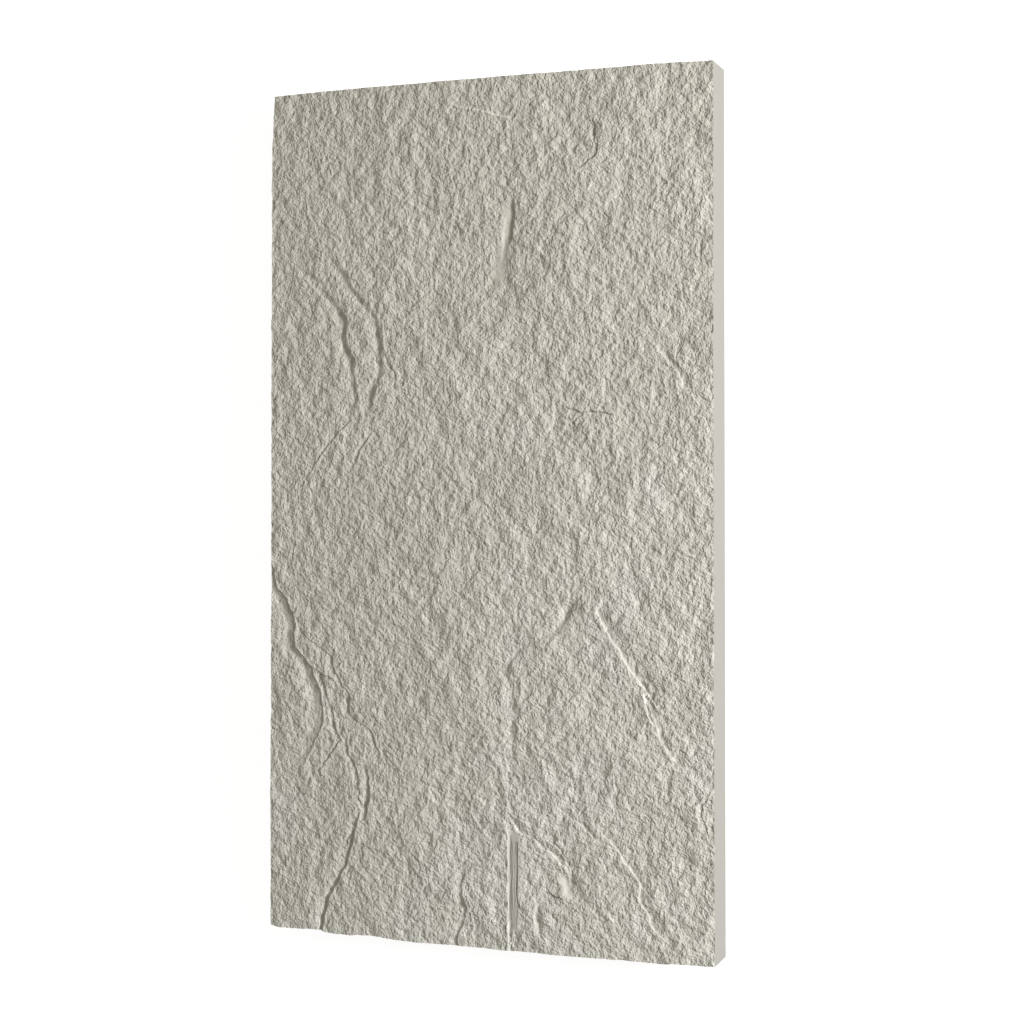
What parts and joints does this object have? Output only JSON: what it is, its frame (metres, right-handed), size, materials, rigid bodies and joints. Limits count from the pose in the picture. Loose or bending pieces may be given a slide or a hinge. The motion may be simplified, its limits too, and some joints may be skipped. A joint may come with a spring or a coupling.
{
  "type": "faux stone wall panel",
  "caption": "Moulded rigid board with a flat back, plain sides and a split-stone relief face, fixed to a wall as cladding.",
  "frame": {"origin": "middle of the flat back, at the bottom centre of the panel's box as it lies face up", "axes": "+Z out of the back through the face, +Y along the length towards the head of the panel, +X to the right as the face is seen"},
  "size_m": [0.6, 1.1, 0.06],
  "materials": {
    "painted_stone_finish": "matt warm grey beige paint on a moulded foam board, coarse stone grain on the face, smooth cream sides"
  },
  "bodies": {
    "root": {"stone_panel": "painted_stone_finish"}
  },
  "joints": []
}
